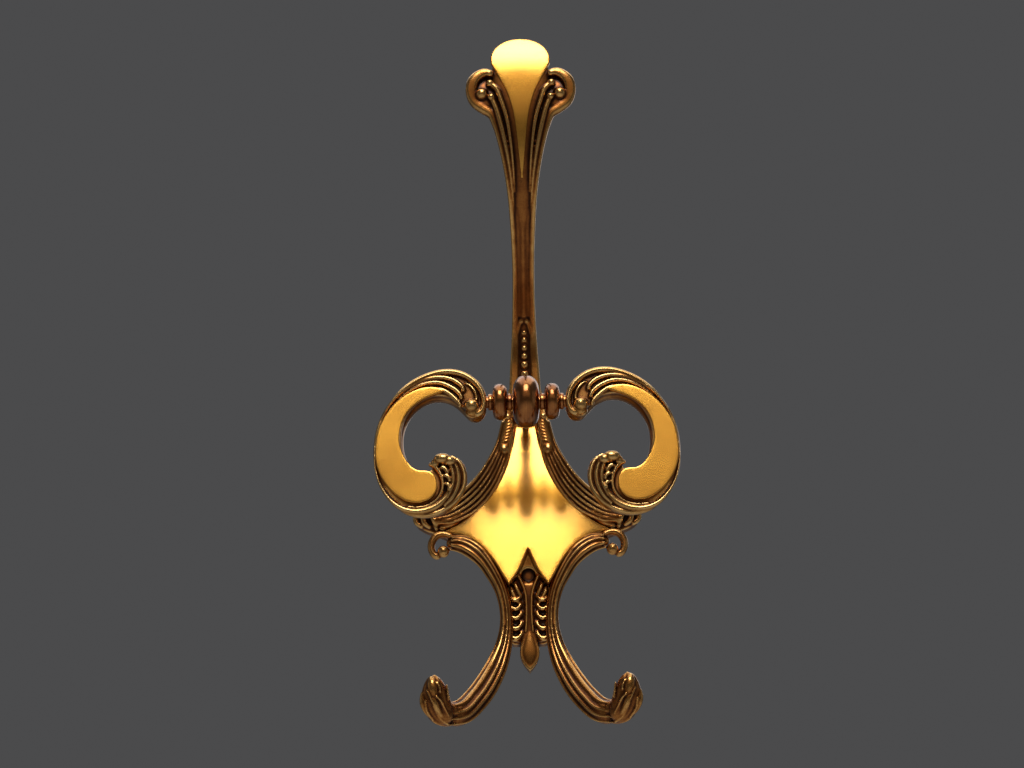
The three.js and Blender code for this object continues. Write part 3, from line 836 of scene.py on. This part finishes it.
plate = finished_casting("back_plate_casting", back_plate(), PLATE_VOXEL, back_plane=0.0)
# Its patina is the shaded copy, darker as painted shade.
hand_in(plate, ANTIQUE_PAINTED_SHADE, "frame", "antique_brass", "back_plate")
shield_edge = outline(*both_sides(*SHIELD))
shield = crowned_plate("shield_panel_polished", shield_edge, shield_point, soft=0.6, back=4.2, cell=0.9)
hand_in(shield, POLISHED, "frame", "polished_brass", "shield_panel")


# ---------------------------------------------------------------- lower hooks

# Middle of a lower hook, from the shield to the tip, as (x, z, depth, half width, half height).
HOOK = [
    (26.4, -5.3, 7.2, 2.5, 2.0), (22.8, -5.9, 7.4, 2.9, 2.2), (18.9, -8.0, 7.5, 3.0, 2.3),
    (14.9, -12.0, 7.5, 2.6, 2.3), (11.9, -16.8, 7.4, 2.3, 2.3), (9.6, -21.6, 7.2, 2.0, 2.2),
    (8.1, -27.6, 7.0, 1.8, 2.1), (7.7, -34, 7.0, 1.9, 2.1), (8.6, -41, 7.6, 2.4, 2.3),
    (10.8, -48, 9.4, 3.1, 2.6), (14, -55.2, 12.8, 3.6, 3.0), (18.4, -62.2, 17.4, 3.8, 3.4),
    (23.2, -67.0, 22.4, 3.8, 3.6), (27.4, -67.9, 26.0, 3.8, 3.6),
]
# Ribs along the hook: place across it, place out from it, and shares of its half width and height.
HOOK_RIBS = (
    (-0.97, 0.40, 0.15, 0.7), (-0.46, 0.90, 0.31, 0.85), (0.16, 0.99, 0.17, 0.8), (0.62, 0.80, 0.17, 0.75),
    (0.97, 0.40, 0.15, 0.6),
)
# The volute at the top, as (x, z, half width).
VOLUTE = (
    (25.6, -3.4, 0.8), (28.4, -2.2, 1.2), (31.1, -2.6, 1.35), (32.8, -4.8, 1.35), (33.0, -7.5, 1.3),
    (31.6, -9.8, 1.2), (29.9, -10.2, 1.1),
)
# Leaf-wrapped bud at the tip: the middle of its body, then each leaf, then the veins over them.
BUD = [
    (26.1, -67.7, 24.4, 3.5, 3.4), (28.8, -67.3, 27.8, 4.3, 3.8), (30.3, -64.2, 30.4, 4.5, 3.6),
    (30.8, -60.8, 31.6, 3.9, 3.0), (31.0, -58.2, 32.0, 2.6, 2.2), (31.1, -56.5, 32.0, 1.2, 1.3),
]
BUD_LEAVES = [
    # Top leaf, folded along its bright ridge.
    ((28.5, -66.0, 31.6, 0.5), (30.6, -62.9, 33.6, 1.5), (31.3, -59.7, 34.1, 1.6), (31.5, -57.1, 33.2, 0.8)),
    ((28.3, -64.5, 32.0, 0.4), (28.6, -61.4, 33.0, 0.9), (29.8, -58.4, 33.2, 0.9), (31.0, -56.6, 32.6, 0.6)),
    # Outer leaf.
    ((28.5, -70.3, 28.2, 0.5), (32.2, -68.3, 30.4, 1.3), (34.0, -64.7, 31.8, 1.5), (34.3, -61.6, 32.2, 0.7)),
    # Front leaf.
    ((27.0, -70.1, 27.4, 0.4), (28.8, -68.8, 31.0, 0.9), (30.3, -66.0, 33.2, 1.1), (30.9, -63.6, 33.9, 0.6)),
    # Inner leaf.
    ((25.5, -68.8, 26.6, 0.4), (26.4, -66.4, 30.2, 0.9), (27.5, -62.9, 31.5, 0.8), (28.3, -59.9, 31.6, 0.5)),
    # Lowest leaf, under the turn.
    ((23.7, -69.8, 22.6, 0.4), (27.4, -70.9, 26.4, 0.9), (30.7, -70.1, 29.0, 1.0), (33.1, -67.9, 30.0, 0.5)),
]
BUD_VEINS = [
    [(33.1, -61.4), (32.2, -63.2), (31.3, -65.1), (29.9, -68.6), (28.5, -70.4), (26.4, -71.4)],
    [(30.2, -63.5), (28.7, -64.9), (27.4, -67.2), (26.3, -69.0)],
    [(26.8, -59.7), (26.5, -61.9), (26.0, -64.5)],
    [(33.6, -64.5), (32.9, -68.1), (31.1, -70.5)],
    [(32.7, -59.2), (31.5, -60.6), (31.1, -62.3)],
    [(29.8, -59.0), (29.0, -60.8), (28.7, -62.5)],
]


def bud_front(x, z):
    """Depth of the front of the bud, which is rounded about its middle."""
    reach = np.interp(z, [-72, -68, -64, -60, -56], [28.4, 32.4, 34.6, 34.9, 33.8])
    return float(reach) - 0.11 * (x - 30.4) ** 2


def lower_hook(side):
    c = Casting()
    p = np.array(HOOK)
    c.stroke(*HOOK, side=side, sides=20)
    centre = np.column_stack([p[:, 0], -p[:, 2], p[:, 1]])
    along = np.gradient(centre, axis=0)
    along /= np.linalg.norm(along, axis=1)[:, None]
    across = np.cross(along, [0, -1, 0])
    across /= np.linalg.norm(across, axis=1)[:, None]
    up = np.cross(across, along)
    swell = np.interp(np.arange(len(p)), [0, 2, 9, 12, 13], [0.5, 0.9, 1.0, 0.7, 0.2])
    for share, lift, wide, high in HOOK_RIBS:
        raised = lift * p[:, 4] - 0.12 - 0.5 * (1 - swell)
        q = centre + across * (share * p[:, 3])[:, None] + up * raised[:, None]
        rows = [
            (x, z, -y, w * wide * s + 0.12, high * s) for (x, y, z), w, s in zip(q, p[:, 3], swell)
        ]
        c.stroke(*rows, side=side)
    # The volute at the top and its bulb.
    c.stroke(*[(x, z, 7.0, w, 1.5) for x, z, w in VOLUTE], side=side)
    c.stroke((24.4, -5.2, 6.4, 2.2, 1.6), (28.0, -5.4, 6.4, 1.7, 1.4), side=side)
    c.ball(28.9, -8.5, 7.7, 2.1, side)
    c.ball(26.2, -67.0, 25.2, 3.2, side)
    # The bud.
    c.stroke(*BUD, side=side, sides=20, blunt=0.8)
    for leaf in BUD_LEAVES:
        c.stroke(*[(x, z, d, w, 0.35 + 0.6 * w) for x, z, d, w in leaf], side=side)
    for vein in BUD_VEINS:
        c.stroke(*[(x, z, bud_front(x, z) - 0.2, 0.36, 0.7) for x, z in vein], side=side, sides=8)
    return c


for word, side in SIDES:
    hook = finished_casting(f"lower_hook_{word}_casting", lower_hook(side), HOOK_VOXEL, back_plane=4.6)
    # Its patina is the shaded copy, darker as painted shade.
    hand_in(hook, ANTIQUE_PAINTED_SHADE, "frame", "antique_brass", f"lower_hook_{word}")


# ---------------------------------------------------------------- hat hook

# (height, depth) of the middle of the stem and head, seen from the side.
HAT_PROFILE = [
    (35, 7.2), (44, 7.2), (54, 7.6), (62, 8.6), (70, 11.4), (78, 17.2), (86, 25.6), (95.4, 36.0),
    (105, 46.0), (112, 51.2), (119.5, 55.6), (127, 58.9), (134, 61.0), (141, 62.4), (148, 63.2),
    (154, 63.3), (159.4, 62.7),
]
hat_curve, _ = resample([(z, d, 0) for z, d in HAT_PROFILE], np.linspace(0, 1, 400))
HAT_Z, HAT_D = hat_curve[:, 0], hat_curve[:, 1]
HAT_SLOPE = np.gradient(HAT_D, HAT_Z)


def hat_point(z, lift):
    """(height, depth) of a point that far out from the middle, square to the curve."""
    slope = float(np.interp(z, HAT_Z, HAT_SLOPE))
    size = math.hypot(1, slope)
    return z - lift * slope / size, float(np.interp(z, HAT_Z, HAT_D)) + lift / size


def hat_rows(rows, count=30):
    """Rows of (x, z, lift, half width, half height), made smooth and laid on the curve."""
    found, _ = resample(rows, np.linspace(0, 1, count))
    return [(x, *hat_point(z, lift), wide, high) for x, z, lift, wide, high in found]


# Right half of the polished spade on the head: its long side from the foot up, then its round top.
SPADE = [
    [
        (0, 111.6), (0.45, 114), (0.9, 118), (1.5, 123.6), (2.2, 129), (3.3, 134.4), (5.2, 140),
        (8.0, 145.4), (10.2, 149.6),
    ],
    [(10.2, 149.6), (10.1, 152.6), (8.6, 155.4), (6.2, 157.5), (3.3, 158.8), (0, 159.2)],
]
# Stem and head, as (height, half thickness, half breadth).
HAT_BODY = [
    (39.0, 1.5, 4.8), (46, 1.5, 5.0), (58, 1.5, 4.7), (66, 1.6, 4.2), (76, 1.8, 3.6), (86, 1.9, 3.4),
    (96, 1.8, 3.6), (106, 1.6, 4.4), (114, 1.4, 5.6), (121, 1.3, 7.2), (128, 1.3, 9.2), (135, 1.3, 9.8),
    (143, 1.4, 9.6), (150, 1.4, 9.6), (155.4, 1.3, 7.4), (158.6, 1.1, 3.2),
]
# The rest are rows of (x, z, lift, half width, half height), where lift is how far out from the curve a
# rib runs. The rail goes from the foot up the edge of the stem and round the ear.
HAT_RAIL = [
    (3.85, 42, 0.9, 1.75, 1.0), (3.85, 50, 0.9, 1.75, 1.0), (3.6, 58, 0.9, 1.6, 1.0),
    (3.4, 64, 1.0, 1.4, 1.0), (3.2, 71, 1.1, 1.2, 1.0), (3.0, 80, 1.2, 1.0, 1.0),
    (3.0, 90, 1.2, 0.9, 1.0), (3.5, 99, 1.1, 0.85, 1.0), (4.2, 107, 0.8, 0.9, 1.1),
    (5.5, 115, 0.5, 0.95, 1.2), (7.1, 122, 0.3, 1.0, 1.3), (8.9, 128, 0.2, 1.1, 1.4),
    (10.4, 131.8, 0.2, 1.5, 1.5), (13.2, 133.8, 0.1, 1.8, 1.6), (15.8, 136.2, 0.0, 2.0, 1.6),
    (17.0, 139.6, 0.1, 2.0, 1.7), (16.4, 143.0, 0.3, 2.0, 1.7), (14.2, 145.4, 0.4, 1.8, 1.7),
    (11.6, 146.2, 0.5, 1.5, 1.6), (9.4, 145.2, 0.5, 1.1, 1.4),
]
# Two ribs that fan out to beads.
HAT_FANS = [
    [
        (3.0, 102, 1.0, 0.35, 0.6), (3.4, 108, 1.2, 0.55, 0.8), (4.4, 116, 1.4, 0.7, 1.0),
        (5.8, 123, 1.4, 0.8, 1.1), (7.3, 129, 1.4, 0.9, 1.1), (8.8, 134, 1.4, 0.95, 1.2),
        (10.2, 137.2, 1.3, 1.0, 1.2),
    ],
    [
        (2.6, 108, 1.1, 0.35, 0.6), (3.0, 115, 1.4, 0.5, 0.9), (3.8, 123, 1.5, 0.6, 1.0),
        (5.0, 130, 1.5, 0.75, 1.1), (6.8, 136, 1.5, 0.9, 1.2), (8.7, 140.4, 1.5, 1.0, 1.2),
        (10.6, 142.0, 1.4, 1.0, 1.2),
    ],
]
# The stem's face closes over the sunk panel in an arch. Above it, flat ribs fill each side and the middle.
HAT_ARCH = [
    (3.1, 65, 0.9, 0.5, 0.8), (2.9, 69.5, 1.0, 0.9, 0.9), (2.6, 72.2, 1.1, 1.2, 1.0),
    (1.7, 74.4, 1.1, 1.3, 1.0), (0, 75.2, 1.1, 1.3, 1.0),
]
HAT_FLAT = [
    (2.0, 75.5, 1.0, 1.3, 1.0), (1.8, 79, 1.0, 1.5, 1.1), (1.6, 86, 0.9, 1.5, 1.1), (1.7, 96, 0.8, 1.5, 1.1),
    (1.8, 105, 0.4, 1.2, 1.0),
]
HAT_MIDDLE = [
    (0, 75.4, 1.1, 1.3, 1.0), (0, 84, 1.0, 1.4, 1.1), (0, 96, 0.8, 1.4, 1.1), (0, 107, 0.3, 1.2, 1.0),
]
# Balls of the ear, its sunk back first and its eye last: x, z, lift, radius and stretch.
EAR_BALLS = (
    (12.4, 139.8, -0.5, 6.5, (0.97, 1.05, 0.2)),
    (10.2, 134.2, -0.4, 3.4, (1, 1, 0.35)),
    (13.4, 138.4, 1.0, 2.1, (1, 1, 1)),
)
# Beads in the sunk panel, from the top one down: height and radius.
PANEL_BEADS = ((71.0, 0.85), (68.5, 1.0), (65.7, 1.12), (62.8, 1.25), (59.6, 1.4), (55.9, 1.55), (52.1, 1.6))


def hat_hook():
    c = Casting()
    body = [(0, z, 0, thick, broad) for z, thick, broad in HAT_BODY]
    c.stroke(*hat_rows(body, 60), sides=28, step=0.8, front=(1, 0, 0))
    for side in (-1, 1):
        c.stroke(*hat_rows(HAT_RAIL, 70), side=side, sides=16, square=0.7)
        for x, height, lift, radius, stretch in EAR_BALLS:
            c.ball(x, *hat_point(height, lift), radius, side, stretch)
        for rib in HAT_FANS:
            c.stroke(*hat_rows(rib), side=side)
            c.ball(rib[-1][0], *hat_point(rib[-1][1], 1.6), 1.3, side)
        for rib in (HAT_ARCH, HAT_FLAT):
            c.stroke(*hat_rows(rib), side=side, square=0.7)
    c.stroke(*hat_rows(HAT_MIDDLE), square=0.7)
    for height, radius in PANEL_BEADS:
        c.ball(0, *hat_point(height, 1.5), radius)
    return c


def spade_point(x, z, drop):
    """The spade lies on the head's face and falls away a little to its sides."""
    height, depth = hat_point(z, 1.75 - x * x / 260.0 - drop)
    return (x, -depth, height)


hat = finished_casting("hat_hook_casting", hat_hook(), HAT_VOXEL, back_plane=4.8)
# Its patina is the shaded copy, darker as painted shade.
hand_in(hat, ANTIQUE_PAINTED_SHADE, "frame", "antique_brass", "hat_hook")
spade_edge = outline(*both_sides(*SPADE), step=0.5)
spade = crowned_plate("hat_hook_spade", spade_edge, spade_point, soft=0.45, back=1.2, cell=0.8)
hand_in(spade, POLISHED, "frame", "polished_brass")


# ---------------------------------------------------------------- turned pieces of the crossbar

# Radius of the rod's bore, and of the flat on each side of a bobbin.
BORE, BOBBIN_FLAT = 2.3, 3.0


def turned(name, profile):
    """A piece turned about the crossbar, from (x, radius) pairs."""
    segments, points, faces = 72, [], []
    n = len(profile)
    for i in range(segments):
        a = 2 * math.pi * i / segments
        points += [(x, -AXIS_DEPTH + r * math.sin(a), AXIS_HEIGHT + r * math.cos(a)) for x, r in profile]
    for i in range(segments):
        k = (i + 1) % segments
        faces += [(i * n + j, i * n + (j + 1) % n, k * n + (j + 1) % n, k * n + j) for j in range(n)]
    return smooth_piece(name, points, faces, 50)


def rounded(start, end, radius, hub, power=2.0, count=22):
    """Closed profile of a bored ring. Its rim swells from the hub's radius, and a higher power squares it."""
    middle, half = (start + end) / 2, (end - start) / 2
    rim = []
    for k in range(count + 1):
        t = -1 + 2 * k / count
        rim.append((middle + half * t, hub + (radius - hub) * (1 - abs(t) ** power) ** (1 / power)))
    return [(start, BORE), *rim, (end, BORE)]


hub = turned("hub_barrel_turned", rounded(-4.4, 4.4, radius=8.9, hub=3.6, power=2.1, count=36))
hand_in(hub, COPPERED, "frame", "turned_brass", "hub_barrel")
shank = Casting()
shank_rows = (0, 38.2, 9.8, 2.3, 2.3), (0, 38.2, 18, 2.1, 2.1), (0, 38, 36, 2.3, 2.3)
shank.stroke(*shank_rows, sides=24, front=(0, 0, 1))
post = finished_casting("hub_shank", shank, POST_VOXEL)
hand_in(post, COPPERED, "frame", "turned_brass", "hub_barrel")
# Each ring on the crossbar: where it starts and ends, its radius, its hub's radius and its rim's power.
RINGS = (
    ("inner_collar", 4.6, 6.2, 2.8, 2.5, 2.0),
    ("bobbin", 6.2, 11.2, 6.1, 3.4, 2.2),
    ("outer_collar", 11.2, 12.6, 2.8, 2.5, 2.0),
)
for word, side in SIDES:
    for piece, start, end, radius, hub_radius, power in RINGS:
        profile = rounded(start, end, radius, hub_radius, power)
        if piece == "bobbin":
            profile[1:1] = [(start, BOBBIN_FLAT)]
            profile[-1:-1] = [(end, BOBBIN_FLAT)]
        if side < 0:
            profile = [(-x, r) for x, r in reversed(profile)]
        ring = turned(f"{piece}_{word}_turned", profile)
        hand_in(ring, COPPERED, "frame", "turned_brass", f"{piece}_{word}")


# ---------------------------------------------------------------- screws

HUB_SCREW_LENGTH, HOOK_SCREW_LENGTH = 16, 6.6
HEAD_DEPTH, THREAD_PITCH = 1.6, 0.52
SLOT_HALF_WIDTH, SLOT_DEPTH = 0.36, 0.6


def screw(name, x, z, length, node):
    """Slotted machine screw, put in from the back, as (radius, depth) pairs turned about its length."""
    profile = [(0, 0.25), (1.5, 0.12), (1.8, 0.4), (1.8, 1.45), (1.3, HEAD_DEPTH)]
    depth = HEAD_DEPTH
    while depth < length - 0.9:
        profile += [(1.25, depth + 0.05), (1.05, depth + 0.27), (1.25, depth + 0.5)]
        depth += THREAD_PITCH
    profile += [(0.95, length - 0.1), (0, length)]
    segments, points, faces = 40, [], []
    n = len(profile)
    for i in range(segments):
        a = 2 * math.pi * i / segments
        for r, d in profile:
            px, pz = r * math.cos(a), r * math.sin(a)
            sunk = SLOT_DEPTH if abs(pz) < SLOT_HALF_WIDTH and d < 0.5 else 0.0
            points.append((x + px, -(d + sunk), z + pz))
    for i in range(segments):
        k = (i + 1) % segments
        faces += [(i * n + j, k * n + j, k * n + j + 1, i * n + j + 1) for j in range(n - 1)]
    obj = smooth_piece(name, points, faces, 35)
    hand_in(obj, STEEL, "frame", "screw_steel", node)


screw("hub_screw_turned", 0, HUB_SCREW_HEIGHT, HUB_SCREW_LENGTH, "hub_screw")
for word, side in SIDES:
    for tag, x, z in HOOK_SCREWS:
        node = f"hook_screw_{word}_{tag}"
        screw(f"{node}_turned", side * x, z, HOOK_SCREW_LENGTH, node)
# The rod keeps its CAD shape and takes the brass.
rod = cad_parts["crossbar_rod"]
rod.data.materials.clear()
rod.data.materials.append(COPPERED)


# ---------------------------------------------------------------- stage, lights and camera

def stage_floor(name, size, height, tone):
    mesh = bpy.data.meshes.new(name)
    h = size / 2
    mesh.from_pydata([(-h, -h, 0), (h, -h, 0), (h, h, 0), (-h, h, 0)], [], [(0, 1, 2, 3)])
    obj = link(name, mesh)
    obj.location = (0, 0, height)
    n = Nodes(name)
    n.set({"Roughness": 0.9, "Specular IOR Level": 0.1})
    darker = tuple(c * 0.97 for c in tone)
    n.join(colour=n.ramp(n.noise(6, detail=2), [(0.3, darker), (0.7, tone)]))
    mesh.materials.append(n.material)


stage_floor("floor", size=8.0, height=-0.62, tone=(0.62, 0.61, 0.60))


def area(name, location, target, size, power, colour=(1, 1, 1)):
    """A soft light of that size in metres and power in watts, turned to its target."""
    light = bpy.data.lights.new(name, "AREA")
    light.shape, light.size, light.size_y = "RECTANGLE", *size
    light.energy, light.color = power, colour
    obj = link(name, light)
    obj.location = location
    obj.rotation_euler = (Vector(target) - Vector(location)).to_track_quat("-Z", "Y").to_euler()


MIDDLE = (0, -0.03, 0.045)
# The key light stands where the shield and the spade mirror it to the camera.
area("key", (0.0, -0.93, 0.90), MIDDLE, (0.54, 0.58), 8.2, (1.0, 0.98, 0.94))
area("front", (0.05, -1.25, 0.33), MIDDLE, (1.5, 0.42), 0.55, (1.0, 0.80, 0.50))
area("top", (0, 0.3, 1.5), (0, 0.1, -0.6), (2.0, 2.0), 16.0)
area("left", (-1.7, -0.3, 0.25), MIDDLE, (1.2, 1.2), 0.6)
area("right", (1.7, -0.3, 0.25), MIDDLE, (1.2, 1.2), 0.6)
area("back", (0.4, 1.3, 0.7), MIDDLE, (1.2, 0.8), 2.0)

world = bpy.data.worlds.new("studio")
world.use_nodes = True
world.node_tree.nodes["Background"].inputs["Color"].default_value = (0.07, 0.07, 0.072, 1)
bpy.context.scene.world = world
bpy.context.scene.view_settings.view_transform = "Standard"

# The camera is below the object, looking up at it with a slight roll.
TILT, ROLL = math.radians(22), math.radians(-0.9)
camera = link("camera", bpy.data.cameras.new("camera"))
camera.data.lens = 60.547
camera.data.sensor_width = 36
camera.data.clip_start = 0.01
camera.location = (-0.004561, -0.574855, -0.176231)
forward = Vector((0, math.cos(TILT), math.sin(TILT)))
level_right = Vector((1, 0, 0))
level_up = Vector((0, -math.sin(TILT), math.cos(TILT)))
rightward = math.cos(ROLL) * level_right + math.sin(ROLL) * level_up
upward = -math.sin(ROLL) * level_right + math.cos(ROLL) * level_up
camera.rotation_euler = Matrix((rightward, upward, -forward)).transposed().to_euler()
bpy.context.scene.camera = camera
